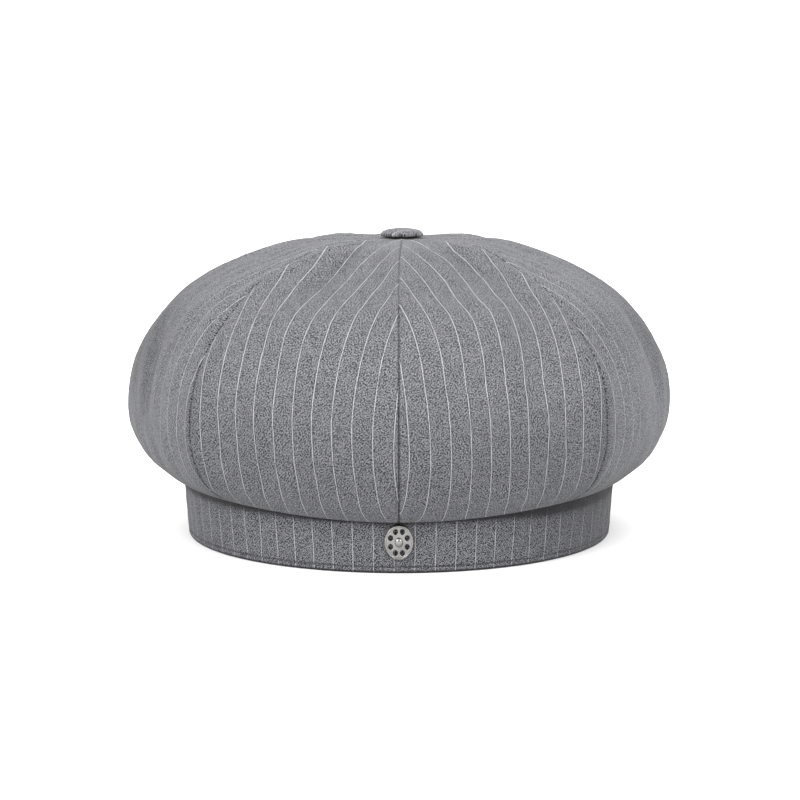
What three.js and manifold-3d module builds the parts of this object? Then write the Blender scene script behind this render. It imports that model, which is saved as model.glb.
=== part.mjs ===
// An eight-panel cap in pinstriped cloth. Eight gores are sewn from a covered button down to a
// straight band, the crown hangs a little over the band, and a small pierced oval of metal is
// fixed to the front of the band. Millimetres, +Z up, and the wearer faces -Y. The origin is at
// the middle of the band's lower edge, which is the plane that the cap stands on.
import * as THREE from "three";
import { mergeVertices } from "three/addons/utils/BufferGeometryUtils.js";
import Module from "manifold-3d";

const wasm = await Module();
wasm.setup();

// Driving dimensions.
const HEAD_GIRTH = 575; // round the inside of the band at half its height
const BAND_WALL = 2; // two layers of cloth over a stiffener
const BAND_HEIGHT = 28.9;
const BAND_TAPER = 2.2; // how much its radius shrinks from the upper edge to the lower
const BAND_EDGE = 0.5; // rounding of the band's folded edges
const BAND_SEGMENTS = 88;
const PANELS = 8;
const CLOTH = 1.1; // one panel's cloth with its backing
const FIT_GAP = 0.3; // between pieces that touch
const HEM_HEIGHT = 25.4; // the crown's fold over the band, at the sides and behind
const HEM_ROLL = 1.6; // radius at which the crown's cloth turns under
const HEM_LEG = 3; // how far the turned-under cloth goes back up
const FRONT_SAG = 3.8; // how much lower the fold hangs at the front
const SAG_REACH = 38; // degrees to each side of the front
const SEAM_TUCK = 0.9; // how deep the cloth dips into a seam
const SEAM_REACH = 3.2; // how far from the seam the dip is felt
const TOP_SHIFT = 1.3; // how far the button and the cloth round it sit to the wearer's left
const TOP_REACH = 75; // distance from the button at which that shift has faded out
const BUTTON_RADIUS = 9.3;
const BUTTON_HEIGHT = 3.7;
const BUTTON_RIM = 1; // height of the button's widest line above its seat
const SHANK_RADIUS = 1.8;
const ORNAMENT_WIDTH = 11.6;
const ORNAMENT_HEIGHT = 14.4;
const ORNAMENT_THICKNESS = 1.5;
const ORNAMENT_FOOT = 6.2; // from the cap's lower edge to the ornament
const ORNAMENT_HOLES = 8;
const BEAD = { wide: 1.7, tall: 2.1, proud: 1.3, sunk: 0.3 }; // half sizes of the middle bead

const BAND_INNER = HEAD_GIRTH / (2 * Math.PI);
const BAND_OUTER = BAND_INNER + BAND_WALL;
const BAND_LEAN = Math.atan(BAND_TAPER / BAND_HEIGHT);
const HALF_PANEL = Math.PI / PANELS;
const HEM_CENTRE = BAND_OUTER + BAND_TAPER / 2 + FIT_GAP + HEM_ROLL;
const HEM_AXIS = HEM_HEIGHT + HEM_ROLL;
const DIAGONAL = HEM_ROLL * Math.SQRT1_2;

// The outer face of a seam, from the button to the hem: distance from the axis, height, how far
// the middle of a panel stands in from the round (negative), and the rows of mesh down to the
// next station. The last five follow the roll of the hem and its leg up behind the overhang.
const STATIONS = [
  { name: "eyelet", radius: 2.2, height: 128.6, swell: 0, rows: 1 },
  { name: "button_rim", radius: 9, height: 128.5, swell: -0.5, rows: 1 },
  { name: "top_inner", radius: 26, height: 128.9, swell: -0.8, rows: 1 },
  { name: "top_middle", radius: 45.4, height: 127.9, swell: -1.4, rows: 2 },
  { name: "top_outer", radius: 64.6, height: 122.2, swell: -2.1, rows: 2 },
  { name: "shoulder_in", radius: 82.4, height: 113.8, swell: -1.4, rows: 2 },
  { name: "shoulder", radius: 96.9, height: 103, swell: -0.1, rows: 2 },
  { name: "shoulder_out", radius: 108.4, height: 90.2, swell: -1.8, rows: 2 },
  { name: "upper_side", radius: 116, height: 76.5, swell: -4, rows: 2 },
  { name: "widest", radius: 118.8, height: 61.5, swell: -4.6, rows: 2 },
  { name: "lower_side", radius: 117.6, height: 46.2, swell: -4.1, rows: 2 },
  { name: "underside", radius: 111, height: 33.7, swell: -2.8, rows: 2 },
  { name: "under_in", radius: 102, height: 27.6, swell: -1, rows: 1 },
  { name: "hem_out", radius: HEM_CENTRE + DIAGONAL, height: HEM_AXIS - DIAGONAL, swell: 0, rows: 1 },
  { name: "hem_low", radius: HEM_CENTRE, height: HEM_HEIGHT, swell: 0, rows: 1 },
  { name: "hem_in", radius: HEM_CENTRE - DIAGONAL, height: HEM_AXIS - DIAGONAL, swell: 0, rows: 1 },
  { name: "hem_turn", radius: HEM_CENTRE - HEM_ROLL, height: HEM_AXIS, swell: 0, rows: 1 },
  { name: "hem_end", radius: HEM_CENTRE - HEM_ROLL, height: HEM_AXIS + HEM_LEG, swell: 0, rows: 0 },
];

// Soft folds of the crown, after the broad flat of its front. The azimuth is in degrees from the
// front, positive to the wearer's left. The rest is in mm: how far down the panel the fold's
// middle lies, its half length down the panel, its half width and how far it goes in.
const FOLDS = [
  { azimuth: 0, down: 84, along: 42, across: 48, depth: 4.4 },
  { azimuth: -26, down: 66, along: 26, across: 6, depth: 2.4 },
  { azimuth: 29, down: 54, along: 18, across: 6, depth: 1.8 },
  { azimuth: 33, down: 84, along: 20, across: 9, depth: 1.2 },
  { azimuth: -70, down: 128, along: 26, across: 8, depth: 2.8 },
  { azimuth: 75, down: 124, along: 26, across: 8, depth: 2.6 },
  { azimuth: -112, down: 72, along: 30, across: 9, depth: 2 },
  { azimuth: 118, down: 66, along: 26, across: 9, depth: 2.2 },
  { azimuth: -152, down: 96, along: 26, across: 10, depth: 2 },
  { azimuth: 160, down: 74, along: 30, across: 9, depth: 2.2 },
  { azimuth: 146, down: 142, along: 24, across: 10, depth: 1.6 },
  { azimuth: 92, down: 66, along: 22, across: 18, depth: 0.4 },
];

// Places across a panel from seam to seam, closer together where the cloth dips into the seam.
const COLUMNS = [-1, -0.93, -0.72, -0.38, 0, 0.38, 0.72, 0.93, 1];

// Distance down the panel of each station, and the smooth curve through the stations.
const DOWN = STATIONS.map(() => 0);
for (let i = 1; i < STATIONS.length; i++) {
  const a = STATIONS[i - 1];
  const b = STATIONS[i];
  DOWN[i] = DOWN[i - 1] + Math.hypot(b.radius - a.radius, b.height - a.height);
}

const downTo = (name) => DOWN[STATIONS.findIndex((station) => station.name === name)];
const SAG_START = downTo("widest"); // the front sags from here down to the hem
const UNDER_START = downTo("underside"); // folds and dips fade out from here to the hem
const HEM_START = downTo("hem_out");
const BUTTON_EDGE = 4; // radii between which the dips and folds set in round the button
const BUTTON_CLEAR = 20;

function slopeAt(key, i) {
  const a = Math.max(i - 1, 0);
  const b = Math.min(i + 1, STATIONS.length - 1);
  return (STATIONS[b][key] - STATIONS[a][key]) / (DOWN[b] - DOWN[a]);
}

// A station's value at a distance down the panel, by a cubic between the two stations round it.
function profile(key, down) {
  let i = 0;
  while (i < STATIONS.length - 2 && down > DOWN[i + 1]) i++;
  const span = DOWN[i + 1] - DOWN[i];
  const t = (down - DOWN[i]) / span;
  const from = (1 + 2 * t) * (1 - t) ** 2 * STATIONS[i][key];
  const to = t * t * (3 - 2 * t) * STATIONS[i + 1][key];
  const leave = t * (1 - t) ** 2 * span * slopeAt(key, i);
  const arrive = t * t * (t - 1) * span * slopeAt(key, i + 1);
  return from + to + leave + arrive;
}

// Which way the outer face looks at a distance down the panel, as radius and height parts.
function facing(down) {
  const nearby = 0.05;
  const a = Math.max(down - nearby, 0);
  const b = Math.min(down + nearby, DOWN.at(-1));
  const alongRadius = profile("radius", b) - profile("radius", a);
  const alongHeight = profile("height", b) - profile("height", a);
  const length = Math.hypot(alongRadius, alongHeight);
  return { radius: -alongHeight / length, height: alongRadius / length };
}

// How far the folds push the cloth in at a place on the crown.
function foldDepth(azimuth, down, radius) {
  let depth = 0;
  for (const fold of FOLDS) {
    let turn = azimuth - THREE.MathUtils.degToRad(fold.azimuth);
    turn -= 2 * Math.PI * Math.round(turn / (2 * Math.PI));
    const across = (turn * radius) / fold.across;
    const along = (down - fold.down) / fold.along;
    depth += fold.depth * Math.exp(-across * across - along * along);
  }
  return depth;
}

// How much lower the cloth hangs at a place, because the front of the crown sags over the band.
function sagAt(azimuth, down) {
  const fromFront = Math.atan2(Math.sin(azimuth), Math.cos(azimuth));
  const share = fromFront / THREE.MathUtils.degToRad(SAG_REACH);
  const lowerDown = THREE.MathUtils.smoothstep(down, SAG_START, HEM_START);
  return FRONT_SAG * Math.exp(-share * share) * lowerDown;
}

// A point of the crown: panel number, place across it (-1 to 1), distance down it, and how deep
// under the outer face.
function crownPoint(panel, across, down, depth) {
  const radius = profile("radius", down);
  const half = HALF_PANEL - Math.asin(FIT_GAP / 2 / radius);
  const azimuth = (2 * panel + 1) * HALF_PANEL + across * half;
  const fromSeam = (1 - Math.abs(across)) * half * radius;
  const face = facing(down);
  const offButton = THREE.MathUtils.smoothstep(radius, BUTTON_EDGE, BUTTON_CLEAR);
  const aboveHem = 1 - THREE.MathUtils.smoothstep(down, UNDER_START, HEM_START);
  const free = offButton * aboveHem;
  const tuck = SEAM_TUCK * Math.max(0, 1 - fromSeam / SEAM_REACH) ** 2;
  const swell = profile("swell", down) * (1 - across * across);
  const out = swell - (tuck + foldDepth(azimuth, down, radius)) * free - depth;
  const reach = radius + face.radius * out;
  const aside = TOP_SHIFT * (1 - THREE.MathUtils.smoothstep(radius, BUTTON_RADIUS, TOP_REACH));
  const height = profile("height", down) + face.height * out - sagAt(azimuth, down);
  return [reach * Math.sin(azimuth) + aside, -reach * Math.cos(azimuth), height];
}

// The distances down the panel at which the mesh has a row.
function meshRows() {
  const rows = [];
  STATIONS.forEach((station, i) => {
    const step = (DOWN[i + 1] - DOWN[i]) / station.rows;
    for (let k = 0; k < station.rows; k++) rows.push(DOWN[i] + k * step);
  });
  rows.push(DOWN.at(-1));
  return rows;
}

// A closed wall from two grids of points, outer and inner, joined round their four edges.
function wallGeometry(outer, inner) {
  const rows = outer.length;
  const columns = outer[0].length;
  const positions = [...outer.flat(), ...inner.flat()].flat();
  const at = (layer, row, column) => (layer * rows + row) * columns + column;
  const faces = [];
  const quad = (a, b, c, d) => faces.push(a, b, c, a, c, d);
  for (let r = 0; r < rows - 1; r++) {
    for (let c = 0; c < columns - 1; c++) {
      quad(at(0, r, c), at(0, r + 1, c), at(0, r + 1, c + 1), at(0, r, c + 1));
      quad(at(1, r, c), at(1, r, c + 1), at(1, r + 1, c + 1), at(1, r + 1, c));
    }
    quad(at(0, r, 0), at(1, r, 0), at(1, r + 1, 0), at(0, r + 1, 0));
    const last = columns - 1;
    quad(at(0, r, last), at(0, r + 1, last), at(1, r + 1, last), at(1, r, last));
  }
  for (let c = 0; c < columns - 1; c++) {
    quad(at(0, 0, c), at(0, 0, c + 1), at(1, 0, c + 1), at(1, 0, c));
    const last = rows - 1;
    quad(at(0, last, c), at(1, last, c), at(1, last, c + 1), at(0, last, c + 1));
  }
  const geometry = new THREE.BufferGeometry();
  geometry.setAttribute("position", new THREE.Float32BufferAttribute(positions, 3));
  geometry.setIndex(faces);
  geometry.computeVertexNormals();
  return geometry;
}

function crownPanel(number, material) {
  const row = (down, depth) => COLUMNS.map((across) => crownPoint(number - 1, across, down, depth));
  const outer = meshRows().map((down) => row(down, 0));
  const inner = meshRows().map((down) => row(down, CLOTH));
  const mesh = new THREE.Mesh(wallGeometry(outer, inner), material);
  mesh.name = `crown_panel_${number}`;
  return mesh;
}

// How far the band leans out at a height, from its radius at half its height.
function leanAt(height) {
  return BAND_TAPER * (height / BAND_HEIGHT - 0.5);
}

function band(material) {
  const e = BAND_EDGE;
  const section = [
    [BAND_INNER + e, 0],
    [BAND_OUTER - e, 0],
    [BAND_OUTER, e],
    [BAND_OUTER, BAND_HEIGHT - e],
    [BAND_OUTER - e, BAND_HEIGHT],
    [BAND_INNER + e, BAND_HEIGHT],
    [BAND_INNER, BAND_HEIGHT - e],
    [BAND_INNER, e],
    [BAND_INNER + e, 0],
  ];
  const lean = ([r, z]) => [r + leanAt(z), z];
  return lathe("band", section.map(lean), BAND_SEGMENTS, material);
}

// A turned solid about the Z axis from a section of [radius, height] points.
function lathe(name, section, segments, material) {
  const geometry = new THREE.LatheGeometry(section.map(([r, z]) => new THREE.Vector2(r, z)), segments);
  geometry.rotateX(Math.PI / 2);
  const mesh = new THREE.Mesh(geometry, material);
  mesh.name = name;
  return mesh;
}

// The covered button: a domed cap on a shank that goes through the eyelet of the crown.
function topButton(material) {
  const eyelet = STATIONS[0].height;
  const seat = eyelet + FIT_GAP;
  const shankEnd = eyelet - CLOTH - 1.6;
  const section = [
    [0, shankEnd],
    [SHANK_RADIUS, shankEnd],
    [SHANK_RADIUS, seat],
    [BUTTON_RADIUS - 1.2, seat],
    [BUTTON_RADIUS - 0.2, seat + 0.4],
    [BUTTON_RADIUS, seat + BUTTON_RIM],
  ];
  const steps = 6;
  for (let k = 1; k < steps; k++) {
    const turn = (k / steps) * (Math.PI / 2);
    const rise = (BUTTON_HEIGHT - BUTTON_RIM) * Math.sin(turn);
    section.push([BUTTON_RADIUS * Math.cos(turn), seat + BUTTON_RIM + rise]);
  }
  section.push([0, seat + BUTTON_HEIGHT]);
  const mesh = lathe("top_button", section, 28, material);
  mesh.position.x = TOP_SHIFT;
  return mesh;
}

// A closed mesh as a solid for joining.
function solidOf(geometry) {
  const bare = geometry.index ? geometry.toNonIndexed() : geometry.clone();
  bare.deleteAttribute("normal");
  bare.deleteAttribute("uv");
  const merged = mergeVertices(bare, 1e-4);
  const vertProperties = new Float32Array(merged.attributes.position.array);
  const triVerts = new Uint32Array(merged.index.array);
  return new wasm.Manifold(new wasm.Mesh({ numProp: 3, vertProperties, triVerts }));
}

function geometryOf(solid) {
  const { vertProperties, triVerts } = solid.getMesh();
  const geometry = new THREE.BufferGeometry();
  geometry.setAttribute("position", new THREE.Float32BufferAttribute(vertProperties, 3));
  geometry.setIndex([...triVerts]);
  geometry.computeVertexNormals();
  return geometry;
}

function oval(x, y, halfWide, halfTall, points) {
  return Array.from({ length: points }, (_, k) => {
    const turn = (k * 2 * Math.PI) / points;
    return new THREE.Vector2(x + halfWide * Math.cos(turn), y + halfTall * Math.sin(turn));
  });
}

// The ornament: a bevelled oval plate pierced by a ring of oval holes, with a bead in the middle.
function frontOrnament(material) {
  const bevel = 0.25;
  const holeWide = 0.95; // half width of one hole
  const holeTall = 1.15;
  const ringWide = 0.62; // how far out the holes lie, as a share of the plate's half width
  const ringTall = 0.66;
  const halfWide = ORNAMENT_WIDTH / 2;
  const halfTall = ORNAMENT_HEIGHT / 2;
  const outline = new THREE.Shape(oval(0, 0, halfWide - bevel, halfTall - bevel, 36));
  for (let k = 0; k < ORNAMENT_HOLES; k++) {
    const turn = ((k + 0.5) * 2 * Math.PI) / ORNAMENT_HOLES;
    const x = ringWide * halfWide * Math.cos(turn);
    const y = ringTall * halfTall * Math.sin(turn);
    outline.holes.push(new THREE.Path(oval(x, y, holeWide + bevel, holeTall + bevel, 12)));
  }
  const plate = new THREE.ExtrudeGeometry(outline, {
    depth: ORNAMENT_THICKNESS - 2 * bevel,
    bevelEnabled: true,
    bevelThickness: bevel,
    bevelSize: bevel,
    bevelSegments: 1,
  });
  plate.translate(0, 0, bevel);
  const bead = new THREE.SphereGeometry(1, 18, 10).scale(BEAD.wide, BEAD.tall, BEAD.proud);
  bead.translate(0, 0, ORNAMENT_THICKNESS - BEAD.sunk);
  const behind = new THREE.BoxGeometry(20, 20, 10).translate(0, 0, -5);
  const joined = solidOf(plate).add(solidOf(bead)).subtract(solidOf(behind));
  const mesh = new THREE.Mesh(geometryOf(joined), material);
  mesh.name = "front_ornament";
  mesh.rotation.x = Math.PI / 2 + BAND_LEAN; // its face looks to -Y, as the band's does
  const middle = ORNAMENT_FOOT + halfTall;
  mesh.position.set(0, -BAND_OUTER - leanAt(middle) - FIT_GAP, middle);
  return mesh;
}

const cloth = new THREE.MeshStandardMaterial({ color: 0x7c7d82, roughness: 0.9, metalness: 0 });
const metal = new THREE.MeshStandardMaterial({ color: 0xc9c5c1, roughness: 0.25, metalness: 1 });

const crown = new THREE.Group();
for (let number = 1; number <= PANELS; number++) crown.add(crownPanel(number, cloth));

const cap = new THREE.Group();
cap.add(crown, band(cloth), topButton(cloth), frontOrnament(metal));

export default cap;
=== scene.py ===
import math

import bpy
import numpy as np
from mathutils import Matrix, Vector


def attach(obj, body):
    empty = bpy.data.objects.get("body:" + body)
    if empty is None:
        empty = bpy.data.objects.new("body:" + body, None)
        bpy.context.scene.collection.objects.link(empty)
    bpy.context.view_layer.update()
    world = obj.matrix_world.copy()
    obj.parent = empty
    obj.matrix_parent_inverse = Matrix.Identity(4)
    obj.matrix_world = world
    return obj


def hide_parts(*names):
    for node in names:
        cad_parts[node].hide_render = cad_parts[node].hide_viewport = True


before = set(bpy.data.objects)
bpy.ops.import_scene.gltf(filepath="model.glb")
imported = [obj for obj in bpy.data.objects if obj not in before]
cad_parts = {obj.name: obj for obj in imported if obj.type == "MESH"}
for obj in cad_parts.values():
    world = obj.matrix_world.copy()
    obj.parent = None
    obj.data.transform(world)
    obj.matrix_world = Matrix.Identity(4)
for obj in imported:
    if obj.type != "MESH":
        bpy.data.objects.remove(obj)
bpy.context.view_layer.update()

MM = 0.001
UV_SCALE = 100  # mm of cloth to one unit of the UV layer

# Dimensions shared with the CAD model.
HEAD_GIRTH = 575
BAND_WALL = 2
BAND_HEIGHT = 28.9
BAND_TAPER = 2.2
PANELS = 8
CLOTH = 1.1
FIT_GAP = 0.3
HEM_HEIGHT = 25.4
HEM_ROLL = 1.6
HEM_LEG = 3
FRONT_SAG = 3.8
SAG_REACH = 38
TOP_SHIFT = 1.3
TOP_REACH = 75
BUTTON_RADIUS = 9.3
BUTTON_HEIGHT = 3.7
BUTTON_RIM = 1
SHANK_RADIUS = 1.8
ORNAMENT_WIDTH = 11.6
ORNAMENT_HEIGHT = 14.4
ORNAMENT_THICKNESS = 1.5
ORNAMENT_FOOT = 6.2
ORNAMENT_HOLES = 8

BAND_INNER = HEAD_GIRTH / (2 * math.pi)
BAND_OUTER = BAND_INNER + BAND_WALL
BAND_LEAN = math.atan(BAND_TAPER / BAND_HEIGHT)
HALF_PANEL = math.pi / PANELS
HEM_CENTRE = BAND_OUTER + BAND_TAPER / 2 + FIT_GAP + HEM_ROLL
HEM_AXIS = HEM_HEIGHT + HEM_ROLL
DIAGONAL = HEM_ROLL * math.sqrt(0.5)

# The outer face of a seam, from the button to the hem: distance from the axis, height, and how
# far the middle of a panel stands in from the round.
STATIONS = [
    (2.2, 128.6, 0),
    (9, 128.5, -0.5),
    (26, 128.9, -0.8),
    (45.4, 127.9, -1.4),
    (64.6, 122.2, -2.1),
    (82.4, 113.8, -1.4),
    (96.9, 103, -0.1),
    (108.4, 90.2, -1.8),
    (116, 76.5, -4),
    (118.8, 61.5, -4.6),
    (117.6, 46.2, -4.1),
    (111, 33.7, -2.8),
    (102, 27.6, -1),
    (HEM_CENTRE + DIAGONAL, HEM_AXIS - DIAGONAL, 0),
    (HEM_CENTRE, HEM_HEIGHT, 0),
    (HEM_CENTRE - DIAGONAL, HEM_AXIS - DIAGONAL, 0),
    (HEM_CENTRE - HEM_ROLL, HEM_AXIS, 0),
    (HEM_CENTRE - HEM_ROLL, HEM_AXIS + HEM_LEG, 0),
]
STATION = np.array(STATIONS, float)
RADIUS, HEIGHT, SWELL = range(3)
STEPS = np.hypot(np.diff(STATION[:, RADIUS]), np.diff(STATION[:, HEIGHT]))
DOWN = np.concatenate([[0], np.cumsum(STEPS)])
WIDEST, LOWER_SIDE, UNDERSIDE, HEM_OUT = 9, 10, 11, 13

# Soft folds: azimuth in degrees, distance down the panel, half length down it, half width, depth.
FOLDS = [
    (0, 84, 42, 48, 4.4),
    (-26, 66, 26, 6, 2.4),
    (29, 54, 18, 6, 1.8),
    (33, 84, 20, 9, 1.2),
    (-70, 128, 26, 8, 2.8),
    (75, 124, 26, 8, 2.6),
    (-112, 72, 30, 9, 2),
    (118, 66, 26, 9, 2.2),
    (-152, 96, 26, 10, 2),
    (160, 74, 30, 9, 2.2),
    (146, 142, 24, 10, 1.6),
    (92, 66, 22, 18, 0.4),
]

# Painted shade on the crown, standing in for the shading of its folds and sides, or painted light where
# the amount is negative: azimuth in degrees, distance down the panel, half length down it, half width,
# amount.
SHADE_AND_LIGHT_SPOTS = [
    (-84, 120, 32, 24, 0.5),
    (-62, 118, 18, 14, 0.15),
    (-67, 150, 16, 16, 0.12),
    (87, 118, 28, 18, 0.42),
    (72, 122, 24, 20, 0.06),
    (57, 114, 16, 16, 0.1),
    (-27, 46, 11, 3.5, 0.1),
    (-24, 66, 14, 4, 0.06),
    (26, 42, 10, 3.5, 0.12),
    (31, 60, 11, 4, 0.05),
    (-31, 152, 10, 15, 0.06),
    (28, 158, 14, 26, 0.05),
    (56, 84, 18, 18, -0.09),
    (-10, 112, 20, 30, -0.04),
    (16, 112, 20, 22, -0.04),
    (-33, 128, 16, 12, -0.03),
    (38, 126, 16, 12, -0.05),
    (-125, 120, 30, 14, 0.12),
    (134, 96, 30, 12, 0.1),
    (172, 130, 34, 20, 0.08),
]

# The line across the front where the cloth bends over: azimuth in degrees, distance down.
BEND_LINE = [(-36, 97), (-31, 105), (-26, 110), (-21.6, 113), (-17, 105), (-12.8, 95), (-6.5, 95),
             (0, 90), (7, 89), (13, 95.5), (18, 103), (22, 97), (32, 88)]
BEND_HEIGHT = 1.3
BEND_REACH = 10
BEND_SOFT = 1.5  # rounds the crest of the bend
BEND_ENDS = (24, 38)  # degrees from the front between which it dies out

# How each panel was cut. At the distances down it in CUT_AT: the half width of the flat cloth,
# and how far the stripes wander sideways in its middle. The cloth is narrower along the front
# seam. With each panel goes the stripes' phase.
STRIPE_PITCH = 8.42
CUT_AT = [10, 25, 40, 55, 70, 85, 100, 115, 130, 145, 160, 175, 190, 197]
HALF_CLOTH = [3.4, 9.2, 14.8, 20.4, 26.1, 32.1, 37.4, 41.3, 43.8, 45.3, 45.9, 44.4, 40.8, 37.1]
FRONT_CLOTH = [1.8, 5.4, 11.9, 19.5, 26.1, 32.1, 37.4, 41.3, 43.8, 45.3, 45.9, 44.4, 40.8, 37.1]
WANDER = {
    1: ([-0.4, -1.5, -2.7, -0.2, 0.5, -0.4, 0.6, 0.2, -0.9, -0.4, 0, 1.4, 4, 6.6], 0.16),
    2: ([0.5, 0.6, 0.8, 1.1, 1.4, 1.3, 1.0, 0.6, 0.2, 0, -0.3, -0.5, 0.2, 0.6], 2.4),
    3: ([0.4, 0, -0.6, -1.1, -1.2, -0.8, -0.4, 0, 0.5, 0.8, 1, 1.1, 1.6, 2], 0.9),
    4: ([-0.8, -0.5, -0.2, 0.3, 0.7, 1.1, 1.2, 0.9, 0.6, 0.1, -0.3, -0.6, -1.1, -1.5], -2.2),
    5: ([0.3, 0.6, 0.9, 1.1, 1.1, 0.7, 0.2, -0.4, -0.7, -0.8, -0.9, -0.6, 0.1, 0.8], 3.1),
    6: ([-0.5, -0.8, -1, -0.7, -0.3, 0.2, 0.6, 1, 1.3, 1.1, 0.8, 0.5, -0.1, -0.6], -1.4),
    7: ([-0.4, -0.7, -0.9, -1.2, -1.3, -1, -0.6, -0.2, 0.1, 0.5, 0.8, 0.6, 0.1, -0.4], 0.4),
    8: ([0.5, 1.6, 3.3, 3.4, 3, 1.7, 0.7, 0.4, 0.3, 0, 0.9, 1.3, 0, -1.2], 1.83),
}


def smoothstep(x, low, high):
    t = np.clip((x - low) / (high - low), 0, 1)
    return t * t * (3 - 2 * t)


def curve(places, values, x):
    """A smooth curve through values at places, by a cubic between each two of them."""
    places = np.asarray(places, float)
    values = np.asarray(values, float)
    last = len(places) - 1
    i = np.clip(np.searchsorted(places, x, side="left") - 1, 0, last - 1)
    span = places[i + 1] - places[i]
    t = np.clip((x - places[i]) / span, 0, 1)
    before = np.maximum(np.arange(last + 1) - 1, 0)
    after = np.minimum(np.arange(last + 1) + 1, last)
    slope = (values[after] - values[before]) / (places[after] - places[before])
    start = (1 + 2 * t) * (1 - t) ** 2 * values[i] + t * (1 - t) ** 2 * span * slope[i]
    end = t * t * (3 - 2 * t) * values[i + 1] + t * t * (t - 1) * span * slope[i + 1]
    return start + end


def profile(key, down):
    """A station's value at distances down the panel."""
    return curve(DOWN, STATION[:, key], down)


def facing(down):
    """Which way the outer face looks at distances down the panel."""
    a = np.maximum(down - 0.05, 0)
    b = np.minimum(down + 0.05, DOWN[-1])
    along_radius = profile(RADIUS, b) - profile(RADIUS, a)
    along_height = profile(HEIGHT, b) - profile(HEIGHT, a)
    length = np.hypot(along_radius, along_height)
    return -along_height / length, along_radius / length


def turn_degrees(azimuth):
    """An azimuth in degrees from the front, between -180 and 180."""
    return np.degrees(np.arctan2(np.sin(azimuth), np.cos(azimuth)))


def front_sag(turn):
    """How far the crown's lower edge hangs down, by degrees from the front."""
    return FRONT_SAG * np.exp(-((turn / SAG_REACH) ** 2))


def fold_depth(folds, azimuth, down, radius):
    """The sum of all rows of a table of soft oval folds, or of soft ovals of painted shade and light."""
    depth = np.zeros(np.broadcast(azimuth, down).shape)
    for turn_at, down_at, half_long, half_wide, deep in folds:
        turn = azimuth - math.radians(turn_at)
        turn = turn - 2 * math.pi * np.round(turn / (2 * math.pi))
        across = turn * radius / half_wide
        along = (down - down_at) / half_long
        depth = depth + deep * np.exp(-across * across - along * along)
    return depth


def bend_height(azimuth, down):
    """How far the cloth stands out along the line where it bends over at the front."""
    turn = turn_degrees(azimuth)
    at, line = np.array(BEND_LINE, float).T
    away = np.hypot(down - np.interp(turn, at, line), BEND_SOFT) - BEND_SOFT
    fading = 1 - smoothstep(np.abs(turn), *BEND_ENDS)
    return BEND_HEIGHT * np.exp(-away / BEND_REACH) * fading


WAVE_COUNT = 22
SIDE_WAVES = dict(seed=7, counts=(9, 44), lengths=(26, 90), size=0.2)
BAND_WAVES = dict(seed=11, counts=(8, 60), lengths=(30, 90), size=0.1)
BUTTON_WAVES = dict(seed=5, counts=(1, 6), lengths=(7, 20), size=0.05)


def cloth_waves(azimuth, down, seed, counts, lengths, size):
    """Small smooth waves: a seeded sum over whole numbers of waves round the cap."""
    rng = np.random.default_rng(seed)
    total = np.zeros(np.broadcast(azimuth, down).shape)
    for _ in range(WAVE_COUNT):
        count = rng.integers(*counts)
        length = rng.uniform(*lengths) * rng.choice([-1, 1])
        phase = rng.uniform(0, 2 * math.pi)
        total = total + np.cos(count * azimuth + 2 * math.pi * down / length + phase)
    return size * total / math.sqrt(WAVE_COUNT / 2)


PUCKER_SEED = 40  # and one more for each seam
PUCKER_DEPTH = 0.13
PUCKER_PITCH = 6.5
PUCKER_REACH = 3.2  # from the seam
PUCKER_SPELL = 47  # from one strong stretch of puckers to the next
PUCKER_MEAN, PUCKER_SWING = 0.6, 0.4
WANDER_SIZE = (0.6, 1.4)
WANDER_LENGTH = (24, 60)
ANY_PHASE = (0, 6)


def pucker(seam, down, from_seam):
    """Little puckers along a seam, where the stitching draws the cloth up."""
    rng = np.random.default_rng(PUCKER_SEED + seam)
    along = 2 * math.pi * down
    wander = sum(
        rng.uniform(*WANDER_SIZE) * np.sin(along / rng.uniform(*WANDER_LENGTH) + rng.uniform(*ANY_PHASE))
        for _ in range(3)
    )
    strength = PUCKER_MEAN + PUCKER_SWING * np.sin(along / PUCKER_SPELL + rng.uniform(*ANY_PHASE))
    wave = np.cos(along / PUCKER_PITCH + wander)
    return PUCKER_DEPTH * strength * wave * np.exp(-from_seam / PUCKER_REACH)


# The mesh of a panel: distances of its columns from a seam, and how many more there are from the
# last of those to the panel's middle.
SEAM_COLUMNS = [0, 0.1, 0.22, 0.36, 0.54, 0.78, 1.1, 1.5, 2.0, 2.6, 3.3, 4.1, 4.7, 5.2, 5.8]
FREE_COLUMNS = 22
SEAM_SHARE = 1.6  # least half width of a panel, as a multiple of the last of those distances
CROWN_ROW = 1.6  # from one row of the mesh to the next
HEM_ROWS = 27  # round the hem
SEAM_CLEARANCE = 0.01  # between two edges of cloth that meet

# The surface of a panel. The groove is the seam itself, the dip is the cloth drawn down beside it,
# and the ridge is the edge of the allowances pressed open beneath. Pairs are the two ends of a
# soft change: distances from the axis, down the panel or from the seam.
FREE_OF_BUTTON = (4, 20)
WAVES_SET_IN = (12, 70)
PUCKERS_SET_IN = (10, 30)
HEM_RUN_OUT = 2  # groove and puckers end this far round the hem
GROOVE_DEPTH, GROOVE_HALF = 0.95, 0.34
DIP_DEPTH, DIP_REACH = 0.5, 3.4
RIDGE_HEIGHT, RIDGE_EDGE = 0.26, (4.3, 5.3)
RIDGE_LOSS, RIDGE_FADES = 0.7, (50, 130)
SEAM_AT_TOP, SEAM_SETS_IN = 0.45, (90, 150)
ALLOWANCE, ALLOWANCE_EDGE = 0.9, (4.8, 5.2)  # thickness of the turned edges, and where they end
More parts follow.
